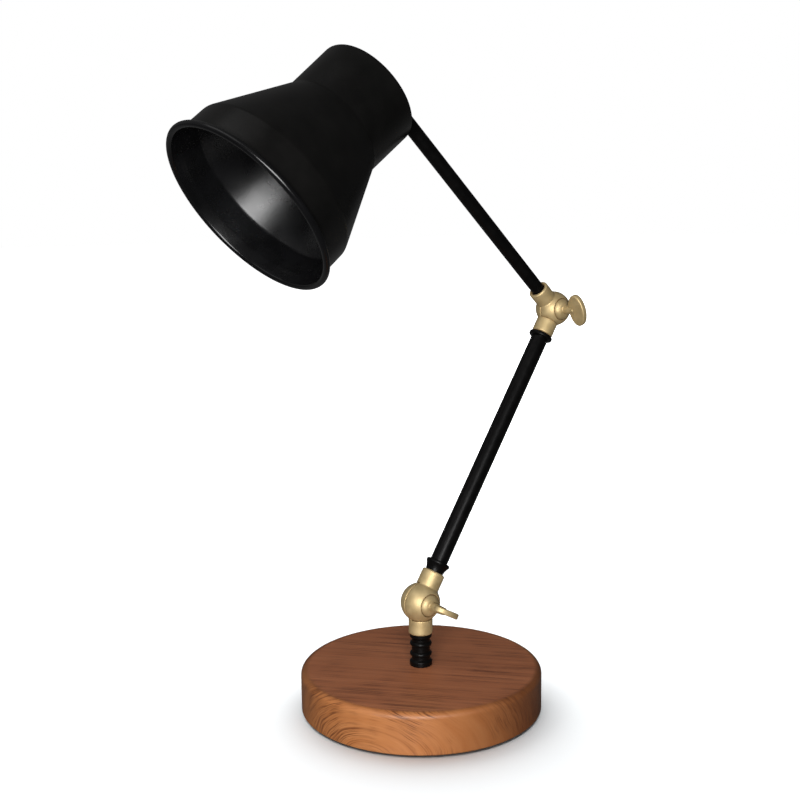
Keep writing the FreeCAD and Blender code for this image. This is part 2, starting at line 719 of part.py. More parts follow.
wire_window = primitive("Cylinder", "tongue_window",
                        at=dict(y=CHAMBER_HALF, axis="1; 0; 0", turn="90"),
                        Radius=f"tongue_radius + {PAST}", Height=f"2 * {CHAMBER_HALF}")
wire_window.Angle = 180
tongue_core = primitive("Cylinder", "tongue_core", at=crosswise("0 - tongue_half_thickness"),
                        Radius=CORE_RADIUS, Height=TONGUE_WIDTH)
wire_room = cut_from("tongue_wire_room",
                     joined("tongue_wire_space", wire_way, wire_chamber, wire_window),
                     tongue_core)
pivot_hole = primitive("Cylinder", "tongue_pivot_hole",
                       at=crosswise(f"0 - tongue_half_thickness - {PAST}"),
                       Radius="pivot_radius + running_play",
                       Height=f"{TONGUE_WIDTH} + 2 * {PAST}")
tongue = cut_from("tongue_cut", tongue_whole, wire_room, pivot_hole)
node(tongue, "head_swivel_tongue", ARM_END)

EAR_INNER = "(tongue_half_thickness + ear_gap)"
EAR_OUTER = "(tongue_half_thickness + ear_gap + ear_thickness)"
SHADE_BACK = "(tongue_radius + tongue_floor_gap + fork_floor)"
SHADE_INSIDE = f"{SHADE_BACK} + shade_wall"
HOLDER_BACK = f"{SHADE_INSIDE} + shade_washer_thickness"
STUB_END = f"{HOLDER_BACK} + holder_boss_height"
fork_pieces = []
for name, low in (("fork_near", f"0 - {EAR_OUTER}"), ("fork_far", EAR_INNER)):
    fork_pieces.append(primitive("Cylinder", name + "_ear", at=crosswise(low),
                                 Radius="ear_radius", Height="ear_thickness"))
    fork_pieces.append(primitive("Box", name + "_cheek",
                                 at=dict(x="0 - cheek_half_width", y=low),
                                 Length="2 * cheek_half_width", Width="ear_thickness",
                                 Height=SHADE_BACK))
FLOOR_BACK = f"{SHADE_BACK} - fork_floor"
fork_pieces.append(primitive("Cylinder", "fork_floor", at=dict(z=FLOOR_BACK),
                             Radius="fork_floor_radius", Height="fork_floor"))
fork_pieces.append(primitive("Cylinder", "fork_stub", at=dict(z=FLOOR_BACK),
                             Radius="pipe_radius", Height=f"{STUB_END} - ({FLOOR_BACK})"))
fork_bore = primitive("Cylinder", "fork_bore", at=dict(z=f"{FLOOR_BACK} - {PAST}"),
                      Radius="pipe_bore_radius", Height=f"{STUB_END} - ({FLOOR_BACK}) + 2 * {PAST}")
fork_hole = primitive("Cylinder", "fork_pivot_hole", at=crosswise(f"0 - {EAR_OUTER} - {PAST}"),
                      Radius="pivot_radius + running_play", Height=f"2 * {EAR_OUTER} + 2 * {PAST}")
fork = cut_from("fork_cut", joined("fork_whole", *fork_pieces), fork_bore, fork_hole)
node(fork, "head_swivel_fork", HEAD)

PIVOT_TAIL = f"0 - {EAR_OUTER} - pivot_nut_thickness - pivot_tail"
PIVOT_HEAD_TOP = f"{EAR_OUTER} + pivot_head_height"
pivot_shaft = turned("pivot_screw_turned", [
    ("0", PIVOT_TAIL),
    ("pivot_radius", PIVOT_TAIL),
    ("pivot_radius", EAR_OUTER),
    ("pivot_head_radius", EAR_OUTER),
    ("pivot_head_radius", PIVOT_HEAD_TOP),
    ("0", PIVOT_HEAD_TOP),
])
rounded(pivot_shaft, "pivot_screw_head", edge_round("pivot_head_edge_radius", "pivot_head_height"),
        ("pivot_head_radius", PIVOT_HEAD_TOP))
put(pivot_shaft, axis="1; 0; 0", turn="90")
pivot_slot = primitive("Box", "pivot_screw_slot",
                       at=dict(x=f"0 - pivot_head_radius - {PAST}",
                               y=f"0 - {PIVOT_HEAD_TOP} - {PAST}",
                               z="0 - pivot_slot_width / 2"),
                       Length=f"2 * pivot_head_radius + 2 * {PAST}",
                       Width=f"pivot_slot_depth + {PAST}",
                       Height="pivot_slot_width")
node(cut_from("pivot_screw_cut", pivot_shaft, pivot_slot), "head_pivot_screw", HEAD)
pivot_nut = hexagon_nut("pivot_nut_hexagon", "pivot_nut_flats", "pivot_radius + thread_play",
                        EAR_OUTER, "pivot_nut_thickness", crosswise)
node(pivot_nut, "head_pivot_nut", HEAD)

# Shade: one spun steel bell, painted black, with a rolled bead round its mouth
RIM = f"{SHADE_BACK} + shade_length"
NECK_END = f"{SHADE_BACK} + neck_length"
SHOULDER = f"{RIM} - band_length"
FLARE = f"{RIM} - flare_length"
BEAD_RING = "(band_front_radius + bead_radius)"
shade = turned("shade_spun", [
    ("pipe_radius + hole_play", SHADE_INSIDE),
    ("shade_end_radius - shade_wall", SHADE_INSIDE),
    ("neck_radius - shade_wall", NECK_END),
    ("band_back_radius - shade_wall", SHOULDER),
    ("band_front_radius - shade_wall", FLARE),
    ("band_front_radius", RIM),
    (BEAD_RING, f"{RIM} + bead_radius", "bead_radius", 1),
    (f"{BEAD_RING} + bead_radius", RIM, "bead_radius", 1),
    (BEAD_RING, f"{RIM} - bead_radius", "bead_radius", 1),
    (f"{BEAD_RING} - bead_radius * sin(bead_join)", f"{RIM} - bead_radius * cos(bead_join)",
     "bead_radius", 1),
    ("band_front_radius", FLARE),
    ("band_back_radius", SHOULDER),
    ("neck_radius", NECK_END),
    ("shade_end_radius", SHADE_BACK),
    ("pipe_radius + hole_play", SHADE_BACK),
])
rounded(shade, "shade_end_outside", "shade_end_corner_radius", ("shade_end_radius", SHADE_BACK))
rounded(shade, "shade_end_inside", "shade_end_corner_radius - shade_wall",
        ("shade_end_radius - shade_wall", SHADE_INSIDE))
rounded(shade, "shade_neck_outside", "neck_corner_radius", ("neck_radius", NECK_END))
rounded(shade, "shade_neck_inside", "neck_corner_radius + shade_wall",
        ("neck_radius - shade_wall", NECK_END))
rounded(shade, "shade_shoulder_outside", "shoulder_corner_radius", ("band_back_radius", SHOULDER))
rounded(shade, "shade_shoulder_inside", "shoulder_corner_radius - shade_wall",
        ("band_back_radius - shade_wall", SHOULDER))
node(shade, "shade", HEAD)
shade_washer = ring("shade_washer_ring", "pipe_radius + hole_play", "shade_washer_radius",
                    SHADE_INSIDE, HOLDER_BACK)
node(shade_washer, "shade_washer", HEAD)

# Lampholder: a black two-part case round a white insert, with a centre contact and a screw shell
INSERT_LOW = f"{STUB_END} + holder_wire_room"
INSERT_TOP = f"{INSERT_LOW} + insert_thickness"
CAP_TOP = f"{INSERT_TOP} + holder_overlap"
CONTACT_TOP = f"{INSERT_TOP} + contact_thickness"
BULB_NECK = f"{CONTACT_TOP} + bulb_cap_height"
holder_cap = turned("holder_cap_moulded", [
    ("pipe_radius + thread_play", HOLDER_BACK),
    ("holder_radius", HOLDER_BACK),
    ("holder_radius", CAP_TOP),
    ("holder_radius - holder_wall", CAP_TOP),
    ("holder_radius - holder_wall", INSERT_LOW),
    ("holder_radius - holder_wall - holder_ledge", INSERT_LOW),
    ("holder_radius - holder_wall - holder_ledge", f"{HOLDER_BACK} + holder_back_wall"),
    ("holder_boss_radius", f"{HOLDER_BACK} + holder_back_wall"),
    ("holder_boss_radius", STUB_END),
    ("pipe_radius + thread_play", STUB_END),
])
rounded(holder_cap, "holder_cap_edge", edge_round("holder_edge_radius", "holder_back_wall"),
        ("holder_radius", HOLDER_BACK))
node(holder_cap, "lampholder_cap", HEAD)
insert = ring("insert_disc", "contact_rivet_radius + tube_play",
              "holder_radius - holder_wall - tube_play", INSERT_LOW, INSERT_TOP)
node(insert, "lampholder_insert", HEAD)
contact = turned("contact_rivet", [
    ("0", f"{INSERT_LOW} - contact_thickness"),
    ("contact_rivet_head", f"{INSERT_LOW} - contact_thickness"),
    ("contact_rivet_head", INSERT_LOW),
    ("contact_rivet_radius", INSERT_LOW),
    ("contact_rivet_radius", INSERT_TOP),
    ("contact_radius", INSERT_TOP),
    ("contact_radius", CONTACT_TOP),
    ("0", CONTACT_TOP),
])
node(contact, "lampholder_centre_contact", HEAD)
shell = ring("shell_ring", "bulb_cap_radius + shell_play",
             "bulb_cap_radius + shell_play + shell_wall",
             INSERT_TOP, f"{BULB_NECK} - shell_rim_gap")
node(shell, "lampholder_screw_shell", HEAD)
SLEEVE_TOP = f"{BULB_NECK} + bulb_neck_height - holder_mouth_gap"
HOLDER_MOUTH = "bulb_neck_radius + holder_mouth_play"
SLEEVE_BORE = "holder_radius - holder_wall - holder_ledge"
sleeve = turned("sleeve_moulded", [
    (SLEEVE_BORE, INSERT_TOP),
    ("holder_radius - holder_wall - tube_play", INSERT_TOP),
    ("holder_radius - holder_wall - tube_play", CAP_TOP),
    ("holder_radius", CAP_TOP),
    ("holder_radius", SLEEVE_TOP),
    (HOLDER_MOUTH, SLEEVE_TOP),
    (HOLDER_MOUTH, f"{SLEEVE_TOP} - holder_mouth_wall"),
    (SLEEVE_BORE, f"{SLEEVE_TOP} - holder_mouth_wall"),
])
rounded(sleeve, "sleeve_edge", edge_round("holder_mouth_edge_radius", "holder_mouth_wall"),
        ("holder_radius", SLEEVE_TOP))
node(sleeve, "lampholder_sleeve", HEAD)

# Bulb: a small golf ball bulb with a screw cap, seated on the centre contact
BULB_MIDDLE = f"{CONTACT_TOP} + bulb_length - bulb_radius"
GLOBE_LOW = f"{BULB_NECK} + bulb_collar_height"
bulb_cap = turned("bulb_cap_drawn", [
    ("0", CONTACT_TOP),
    ("bulb_tip_flat_radius", CONTACT_TOP),
    ("bulb_tip_radius", f"{CONTACT_TOP} + bulb_tip_step"),
    ("bulb_cap_radius", f"{CONTACT_TOP} + bulb_tip_height"),
    ("bulb_cap_radius", BULB_NECK),
    ("0", BULB_NECK),
])
node(bulb_cap, "bulb_screw_cap", HEAD)
bulb_collar = turned("bulb_collar_moulded", [
    ("0", BULB_NECK),
    ("bulb_neck_radius", BULB_NECK),
    ("bulb_neck_radius", f"{BULB_NECK} + bulb_neck_height"),
    ("bulb_collar_radius", GLOBE_LOW, "bulb_collar_arc", -1),
    ("0", GLOBE_LOW),
])
node(bulb_collar, "bulb_collar", HEAD)


def globe_mouth(radius):
    """The radius at which the globe of this radius meets the collar."""
    return f"sqrt(({radius}) ^ 2 - ({BULB_MIDDLE} - ({GLOBE_LOW})) ^ 2)"


GLOBE_INNER = "bulb_radius - bulb_wall"
globe = turned("globe_blown", [
    (globe_mouth(GLOBE_INNER), GLOBE_LOW, GLOBE_INNER, 1),
    (globe_mouth("bulb_radius"), GLOBE_LOW),
    ("bulb_radius", BULB_MIDDLE, "bulb_radius", -1),
    ("0", f"{BULB_MIDDLE} + bulb_radius", "bulb_radius", -1),
    ("0", f"{BULB_MIDDLE} + {GLOBE_INNER}"),
    (GLOBE_INNER, BULB_MIDDLE, GLOBE_INNER, 1),
])
node(globe, "bulb_globe", HEAD)

# Every object must be sound before anything is written
document.recompute()
for thing in document.Objects:
    if "Invalid" in thing.State or "Error" in thing.State:
        raise ValueError(f"{thing.Name} is not sound: {thing.State}")
for thing in nodes:
    if thing.Shape.isNull() or not thing.Shape.isValid():
        raise ValueError(f"{thing.Label} has no valid shape")

os.makedirs("parts", exist_ok=True)
for thing in nodes:
    thing.Shape.exportStep(f"parts/{thing.Label}.step")
    print(f"{thing.Label}: {len(thing.Shape.Solids)} solid, {thing.Shape.Volume:.1f} cubic mm")
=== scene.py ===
import json
import math

import bmesh
import bpy
from mathutils import Matrix, Vector


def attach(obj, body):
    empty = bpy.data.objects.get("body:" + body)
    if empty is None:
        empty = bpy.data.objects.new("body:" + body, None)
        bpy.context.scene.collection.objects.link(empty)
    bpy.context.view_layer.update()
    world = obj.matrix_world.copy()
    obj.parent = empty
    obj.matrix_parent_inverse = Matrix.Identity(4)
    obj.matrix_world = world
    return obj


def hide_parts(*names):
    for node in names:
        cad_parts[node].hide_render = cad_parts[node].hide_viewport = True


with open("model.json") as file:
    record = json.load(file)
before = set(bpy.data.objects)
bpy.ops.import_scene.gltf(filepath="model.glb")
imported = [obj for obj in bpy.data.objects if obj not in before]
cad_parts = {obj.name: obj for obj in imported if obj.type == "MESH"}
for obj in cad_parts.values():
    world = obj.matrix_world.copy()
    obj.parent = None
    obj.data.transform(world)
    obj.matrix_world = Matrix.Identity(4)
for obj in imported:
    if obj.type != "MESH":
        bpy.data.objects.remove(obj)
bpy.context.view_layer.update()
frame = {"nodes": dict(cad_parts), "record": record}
nodes = frame["nodes"]
scene = bpy.context.scene
scene.view_settings.view_transform = "Standard"

# Camera. A pinhole fit of the photograph gave its place, its lean and its lens.
EYE = Vector((-0.50510, -0.64815, 0.35435))
LOOK_HEADING = math.radians(-37.0204)
LOOK_DOWN = math.radians(8.8517)
LOOK_ROLL = math.radians(-0.6899)
LENS = 53.026

camera_data = bpy.data.cameras.new("camera")
camera_data.lens = LENS
camera_data.sensor_width = 36.0
camera_data.clip_start = 0.01
camera = bpy.data.objects.new("camera", camera_data)
camera.matrix_world = (
    Matrix.Translation(EYE)
    @ Matrix.Rotation(LOOK_HEADING, 4, "Z")
    @ Matrix.Rotation(math.radians(90) - LOOK_DOWN, 4, "X")
    @ Matrix.Rotation(LOOK_ROLL, 4, "Z")
)
scene.collection.objects.link(camera)
scene.camera = camera


# Table and studio. A white floor runs out to plain white away from the lamp, and a wide light that
# falls on the floor alone gives its soft contact shadow. A softbox left of the camera gives the
# highlights, and the right side of the room is dark.
def add_node(tree, kind, inputs=(), **settings):
    """A new node. Its settings come by name, and its inputs as values or as sockets to link."""
    item = tree.nodes.new(kind)
    for name, value in settings.items():
        setattr(item, name, value)
    for name, value in dict(inputs).items():
        if isinstance(value, bpy.types.NodeSocket):
            tree.links.new(value, item.inputs[name])
        else:
            item.inputs[name].default_value = value
    return item


def empty_tree(owner):
    """The owner's node tree, cleared."""
    owner.use_nodes = True
    owner.node_tree.nodes.clear()
    return owner.node_tree


FLOOR_SIZE = 30.0
FLOOR_SEEN = (0.91, 0.93, 0.94, 1.0)
FLOOR_NEAR = 0.10
FLOOR_FAR = 0.6
FLOOR_BOUNCE = (0.09, 0.09, 0.09, 1.0)

floor_material = bpy.data.materials.new("white_table")
tree = empty_tree(floor_material)
rays = add_node(tree, "ShaderNodeLightPath")
seen = add_node(tree, "ShaderNodeBsdfDiffuse", {"Color": FLOOR_SEEN})
where = add_node(tree, "ShaderNodeTexCoord")
away = add_node(tree, "ShaderNodeVectorMath", {0: where.outputs["Object"]}, operation="LENGTH")
glowing = add_node(tree, "ShaderNodeMapRange",
                   {"Value": away.outputs["Value"], "From Min": FLOOR_NEAR, "From Max": FLOOR_FAR,
                    "To Min": 0.0, "To Max": 1.0})
glow = add_node(tree, "ShaderNodeEmission", {"Strength": glowing.outputs[0]})
bounce = add_node(tree, "ShaderNodeBsdfDiffuse", {"Color": FLOOR_BOUNCE})
lit = add_node(tree, "ShaderNodeAddShader", {0: seen.outputs[0], 1: glow.outputs[0]})
either = add_node(tree, "ShaderNodeMixShader",
                  {0: rays.outputs["Is Camera Ray"], 1: bounce.outputs[0], 2: lit.outputs[0]})
add_node(tree, "ShaderNodeOutputMaterial", {"Surface": either.outputs[0]})

floor_mesh = bpy.data.meshes.new("floor")
half = FLOOR_SIZE / 2
floor_mesh.from_pydata([(-half, -half, 0), (half, -half, 0), (half, half, 0), (-half, half, 0)],
                       [], [(0, 1, 2, 3)])
floor_mesh.materials.append(floor_material)
floor = bpy.data.objects.new("floor", floor_mesh)
scene.collection.objects.link(floor)

ROOM_LEFT = Vector((-0.80, 0.35, 0.49)).normalized()
ROOM_DARK = 0.06
ROOM_LIGHT = 0.20

room = bpy.data.worlds.new("studio")
scene.world = room
tree = empty_tree(room)
way = add_node(tree, "ShaderNodeTexCoord")
leftness = add_node(tree, "ShaderNodeVectorMath", {0: way.outputs["Generated"], 1: ROOM_LEFT},
                    operation="DOT_PRODUCT")
dimmed = add_node(tree, "ShaderNodeMapRange",
                  {"Value": leftness.outputs["Value"], "From Min": -0.6, "From Max": 1.0,
                   "To Min": ROOM_DARK, "To Max": ROOM_LIGHT})
ambient = add_node(tree, "ShaderNodeBackground", {"Strength": dimmed.outputs[0]})
backdrop = add_node(tree, "ShaderNodeBackground", {"Color": (1, 1, 1, 1), "Strength": 1.0})
rays = add_node(tree, "ShaderNodeLightPath")
either = add_node(tree, "ShaderNodeMixShader",
                  {0: rays.outputs["Is Camera Ray"], 1: ambient.outputs[0],
                   2: backdrop.outputs[0]})
add_node(tree, "ShaderNodeOutputWorld", {"Surface": either.outputs[0]})


def softbox(name, place, aim, width, height, power):
    """A rectangular studio light at its place, turned to its aim."""
    data = bpy.data.lights.new(name, "AREA")
    data.shape = "RECTANGLE"
    data.size = width
    data.size_y = height
    data.energy = power
    lamp = bpy.data.objects.new(name, data)
    turn = (Vector(aim) - Vector(place)).to_track_quat("-Z", "Y")
    lamp.matrix_world = Matrix.Translation(place) @ turn.to_matrix().to_4x4()
    lamp.visible_camera = False
    scene.collection.objects.link(lamp)
    return lamp


def light_table(lamp, state):
    """Have a light fall on the table alone, with INCLUDE, or on all but the table, with EXCLUDE."""
    receivers = bpy.data.collections.new(lamp.name + "_receivers")
    receivers.objects.link(floor)
    receivers.collection_objects[0].light_linking.link_state = state
    lamp.light_linking.receiver_collection = receivers


key = softbox("key_softbox", (-0.74, -0.82, 0.40), (-0.05, 0.0, 0.25), 0.68, 0.46, 19.0)
light_table(key, "EXCLUDE")
top = softbox("top_softbox", (-0.75, 0.05, 1.25), (0.0, 0.0, 0.0), 0.9, 0.9, 2.6)
light_table(top, "EXCLUDE")
table = softbox("table_softbox", (1.30, 1.75, 0.9), (1.30, 1.75, 0.0), 4.2, 4.2, 114.0)
light_table(table, "INCLUDE")


# Foot pad: a disc of dark felt glued under the wood, so that the base doesn't scratch the table.
def unevenness_group():
    """Mottling at two sizes, for finishes that aren't perfectly even."""
    group = bpy.data.node_groups.new("unevenness", "ShaderNodeTree")
    for name in ("Broad scale", "Fine scale"):
        group.interface.new_socket(name, in_out="INPUT", socket_type="NodeSocketFloat")
    for name in ("Broad", "Fine"):
        group.interface.new_socket(name, in_out="OUTPUT", socket_type="NodeSocketFloat")
    given = add_node(group, "NodeGroupInput")
    where = add_node(group, "ShaderNodeTexCoord")
    results = {}
    for name, detail in (("Broad", 3.0), ("Fine", 5.0)):
        noise = add_node(group, "ShaderNodeTexNoise",
                         {"Vector": where.outputs["Object"],
                          "Scale": given.outputs[name + " scale"], "Detail": detail})
        results[name] = noise.outputs["Fac"]
    add_node(group, "NodeGroupOutput", results)
    return group


UNEVENNESS = unevenness_group()
MOTTLING_LOW = 0.3
MOTTLING_HIGH = 0.7


def ramp(tree, value, low, high, at_low, at_high):
    """A value moved from the range low to high into the range at_low to at_high."""
    moved = add_node(tree, "ShaderNodeMapRange",
                     {"Value": value, "From Min": low, "From Max": high,
                      "To Min": at_low, "To Max": at_high})
    return moved.outputs[0]


def mixed(tree, share, first, second):
    """Two colours mixed by a share."""
    node = add_node(tree, "ShaderNodeMix", {0: share, 6: first, 7: second}, data_type="RGBA")
    return node.outputs[2]


def finish(name, dark, light, roughness, broad, fine, grain, **sockets):
    """A finish whose colour and roughness drift and whose surface has a fine relief.

    dark and light are its colours, roughness its range, broad and fine the mottling's sizes in
    metres, and grain the height of the relief in metres.
    """
    material = bpy.data.materials.new(name)
    tree = empty_tree(material)
    mottling = add_node(tree, "ShaderNodeGroup", {"Broad scale": 1 / broad, "Fine scale": 1 / fine},
                        node_tree=UNEVENNESS)
    drift = mottling.outputs["Broad"]
    colour = mixed(tree, ramp(tree, drift, MOTTLING_LOW, MOTTLING_HIGH, 0.0, 1.0),
                   (*dark, 1), (*light, 1))
    rough = ramp(tree, drift, MOTTLING_LOW, MOTTLING_HIGH, *roughness)
    relief = add_node(tree, "ShaderNodeBump",
                      {"Height": mottling.outputs["Fine"], "Distance": grain, "Strength": 1.0})
    shader = add_node(tree, "ShaderNodeBsdfPrincipled",
                      {"Base Color": colour, "Roughness": rough, "Normal": relief.outputs[0]})
    for socket, value in sockets.items():
        shader.inputs[socket.replace("_", " ")].default_value = value
    add_node(tree, "ShaderNodeOutputMaterial", {"Surface": shader.outputs[0]})
    return material


def dress(name, material):
    """Give a piece that keeps its construction shape its finish."""
    mesh = nodes[name].data
    mesh.materials.clear()
    mesh.materials.append(material)


felt = finish("dark_felt", (0.012, 0.011, 0.010), (0.030, 0.028, 0.026), (0.9, 1.0),
              0.004, 0.0006, 0.0003, Sheen_Weight=0.4)
dress("foot_pad", felt)


# Wooden base: a disc turned from one board and stained, its upper edge rounded by sanding.
# The streaks run straight across the top, and the side shows arches where it cuts the rings.
# The side is painted darker a quarter turn either way from the front: a painted shade.
MM = 0.001
BASE_RADIUS = 87.5
GRAIN_HEADING = math.radians(-48.9)
FACING_HEADING = math.radians(-127.93)
ARCH_PLACE = -37.0
ARCH_REPEAT = math.pi * BASE_RADIUS / 2
ARCH_SPREAD = 1.54
ARCH_DEPTH = 5.0
ARCH_LINE = 22.0
EDGE_START = 81.6
EDGE_END = 84.8
SWAY = 7.0
TOP_CLOSENESS = 1.7
SIDE_CLOSENESS = 3.0
TOP_ALONG = 6.0
SIDE_ALONG = 22.0
# Painted shade on the side: where it starts and ends, in mm from the nearest arch, and its strongest
# share.
PAINTED_SHADE_FROM = 40.0
PAINTED_SHADE_TO = 115.0
PAINTED_SHADE_SHARE = 0.72


def streaks_group():
    """Streaks of wood along the lines where a grain coordinate, in mm, stays the same."""
    group = bpy.data.node_groups.new("wood_streaks", "ShaderNodeTree")
    group.interface.new_socket("Grain", in_out="INPUT", socket_type="NodeSocketFloat")
    group.interface.new_socket("Along", in_out="INPUT", socket_type="NodeSocketFloat")
    for name in ("Bands", "Streaks", "Pores"):
        group.interface.new_socket(name, in_out="OUTPUT", socket_type="NodeSocketFloat")
    given = add_node(group, "NodeGroupInput")
    where = add_node(group, "ShaderNodeTexCoord")
    slow = add_node(group, "ShaderNodeVectorMath",
                    {0: where.outputs["Object"], "Scale": given.outputs["Along"]},
                    operation="SCALE")
    results = {}
    for name, per_mm, hurry, detail in (("Bands", 0.075, 1.0, 3.0), ("Streaks", 0.36, 2.2, 5.0),
                                        ("Pores", 1.5, 7.0, 3.0)):
        across = add_node(group, "ShaderNodeMath", {0: given.outputs["Grain"], 1: per_mm},
                          operation="MULTIPLY")
        noise = add_node(group, "ShaderNodeTexNoise",
                         {"Vector": slow.outputs[0], "W": across.outputs[0], "Scale": hurry,
                          "Detail": detail, "Roughness": 0.6},
                         noise_dimensions="4D")
        results[name] = noise.outputs["Fac"]
    add_node(group, "NodeGroupOutput", results)
    return group


def calculated(tree, operation, *values):
    """The result of one sum on values and sockets."""
    return add_node(tree, "ShaderNodeMath", dict(enumerate(values)), operation=operation).outputs[0]


def wood_colour(tree, grain, along, patches, dark, middle, light, depth):
    """The wood's colour, and its relief, from a grain coordinate. Patches say where it is strong."""
    streaks = add_node(tree, "ShaderNodeGroup", {"Grain": grain, "Along": along},
                       node_tree=STREAKS)
    base = mixed(tree, ramp(tree, streaks.outputs["Bands"], 0.32, 0.68, 0, 1),
                 (*middle, 1), (*light, 1))
    share = ramp(tree, streaks.outputs["Streaks"], 0.51, 0.41, 0, depth)
    streaked = mixed(tree, calculated(tree, "MULTIPLY", share, patches), base, (*dark, 1))
    pored = mixed(tree, ramp(tree, streaks.outputs["Pores"], 0.42, 0.30, 0, 0.5),
                  streaked, (*dark, 1))
    return pored, streaks.outputs["Pores"]


def stained_wood():
    material = bpy.data.materials.new("stained_wood")
    tree = empty_tree(material)
    where = add_node(tree, "ShaderNodeTexCoord").outputs["Object"]
    in_mm = add_node(tree, "ShaderNodeMapping", {"Vector": where, "Scale": (1000,) * 3})

    def turned_axes(heading):
        turned = add_node(tree, "ShaderNodeMapping",
                          {"Vector": in_mm.outputs[0], "Rotation": (0, 0, -heading)})
        return add_node(tree, "ShaderNodeSeparateXYZ", {0: turned.outputs[0]}).outputs

    on_top = turned_axes(GRAIN_HEADING)
    facing = turned_axes(FACING_HEADING)
    height = facing["Z"]
    angle = calculated(tree, "ARCTAN2", facing["Y"], facing["X"])
    round_side = calculated(tree, "MULTIPLY", angle, BASE_RADIUS)
    from_arch = calculated(tree, "PINGPONG", calculated(tree, "SUBTRACT", round_side, ARCH_PLACE),
                           ARCH_REPEAT)
    wander = add_node(tree, "ShaderNodeTexNoise", {"Vector": where, "Scale": 28.0, "Detail": 2.0})
    sway = ramp(tree, wander.outputs["Fac"], 0.0, 1.0, -SWAY, SWAY)
    across = calculated(tree, "DIVIDE", calculated(tree, "ADD", from_arch, sway), ARCH_SPREAD)
    upward = calculated(tree, "ADD", height, ARCH_DEPTH)
    rings = calculated(tree, "SQRT", calculated(tree, "ADD", calculated(tree, "POWER", across, 2.0),
                                                calculated(tree, "POWER", upward, 2.0)))
    patches = ramp(tree, wander.outputs["Fac"], 0.42, 0.58, 0.35, 1.0)
    close = calculated(tree, "MULTIPLY", on_top["Y"], TOP_CLOSENESS)
    top_colour, top_pores = wood_colour(tree, close, TOP_ALONG, patches, (0.100, 0.032, 0.014),
                                        (0.345, 0.118, 0.050), (0.440, 0.162, 0.072), 0.80)
    finer = calculated(tree, "MULTIPLY", rings, SIDE_CLOSENESS)
    clearer = ramp(tree, wander.outputs["Fac"], 0.44, 0.60, 0.05, 1.0)
    side_colour, side_pores = wood_colour(tree, finer, SIDE_ALONG, clearer, (0.085, 0.022, 0.006),
                                          (0.355, 0.127, 0.038), (0.420, 0.167, 0.058), 0.90)
    # Painted shade: the side turns darker towards its ends, away from the front arch.
    painted_shade = ramp(tree, from_arch, PAINTED_SHADE_FROM, PAINTED_SHADE_TO, 0, PAINTED_SHADE_SHARE)
    side_colour = mixed(tree, painted_shade, side_colour, (0.085, 0.024, 0.008, 1))
    from_line = calculated(tree, "ABSOLUTE", calculated(tree, "SUBTRACT", rings, ARCH_LINE))
    on_line = calculated(tree, "MULTIPLY", ramp(tree, from_line, 0.9, 0.15, 0, 0.8), patches)
    side_colour = mixed(tree, on_line, side_colour, (0.16, 0.05, 0.016, 1))
    radius = add_node(tree, "ShaderNodeVectorMath",
                      {0: add_node(tree, "ShaderNodeCombineXYZ",
                                   {0: facing["X"], 1: facing["Y"]}).outputs[0]},
                      operation="LENGTH").outputs["Value"]
    on_side = ramp(tree, radius, EDGE_START, EDGE_END, 0, 1)
    colour = mixed(tree, on_side, top_colour, side_colour)
    pores = add_node(tree, "ShaderNodeMix", {0: on_side, 2: top_pores, 3: side_pores}).outputs[0]
    relief = add_node(tree, "ShaderNodeBump",
                      {"Height": ramp(tree, pores, 0.30, 0.45, 0, 1), "Distance": 0.00006,
                       "Strength": 0.6})
    rough = ramp(tree, pores, 0.3, 0.6, 0.52, 0.40)
    shader = add_node(tree, "ShaderNodeBsdfPrincipled",
                      {"Base Color": colour, "Roughness": rough, "Normal": relief.outputs[0],
                       "Specular IOR Level": 0.35})
    add_node(tree, "ShaderNodeOutputMaterial", {"Surface": shader.outputs[0]})
    return material


STREAKS = streaks_group()
dress("base_disc", stained_wood())

# Inside the base: a cast-iron weight, and a zinc-plated pipe with its washer and nut, which
# clamp the weight, the wood, the stem and the lower knuckle together.
cast_iron = finish("cast_iron", (0.030, 0.029, 0.028), (0.060, 0.057, 0.054), (0.55, 0.75),
                   0.006, 0.0005, 0.00025, Metallic=0.6)
dress("ballast_plate", cast_iron)
zinc_steel = finish("zinc_steel", (0.42, 0.42, 0.43), (0.56, 0.56, 0.57), (0.28, 0.42),
                    0.005, 0.0004, 0.00003, Metallic=1.0)
for name in ("base_threaded_pipe", "base_washer", "base_nut", "lower_arm_bottom_threaded_pipe",
             "lower_arm_top_threaded_pipe", "shade_washer"):
    dress(name, zinc_steel)

# Cord inlet: a soft black rubber bushing pushed into a counterbored hole at the back.
rubber = finish("black_rubber", (0.014, 0.014, 0.014), (0.022, 0.022, 0.022), (0.62, 0.78),
                0.003, 0.0004, 0.00003)
dress("cord_grommet", rubber)

# Stem: a sleeve turned with two round ribs, and sprayed satin black like the tubes.
enamel = finish("black_enamel", (0.0018, 0.0017, 0.0017), (0.0028, 0.0026, 0.0026), (0.28, 0.36),
                0.006, 0.0009, 0.00002, Specular_IOR_Level=0.11)
dress("stem_sleeve", enamel)


# Knuckles: each is two halves of cast brass, tumbled and given a satin lacquer, so every edge
# is soft. They turn on each other about the wing screw, on a red fibre washer.
CAST_VOXEL = 0.38 * MM
CAST_SMOOTHING = 7


def settle(thing):
    """Turn a piece and its modifiers into one plain mesh."""
    graph = bpy.context.evaluated_depsgraph_get()
    mesh = bpy.data.meshes.new_from_object(thing.evaluated_get(graph))
    thing.modifiers.clear()
    thing.data = mesh


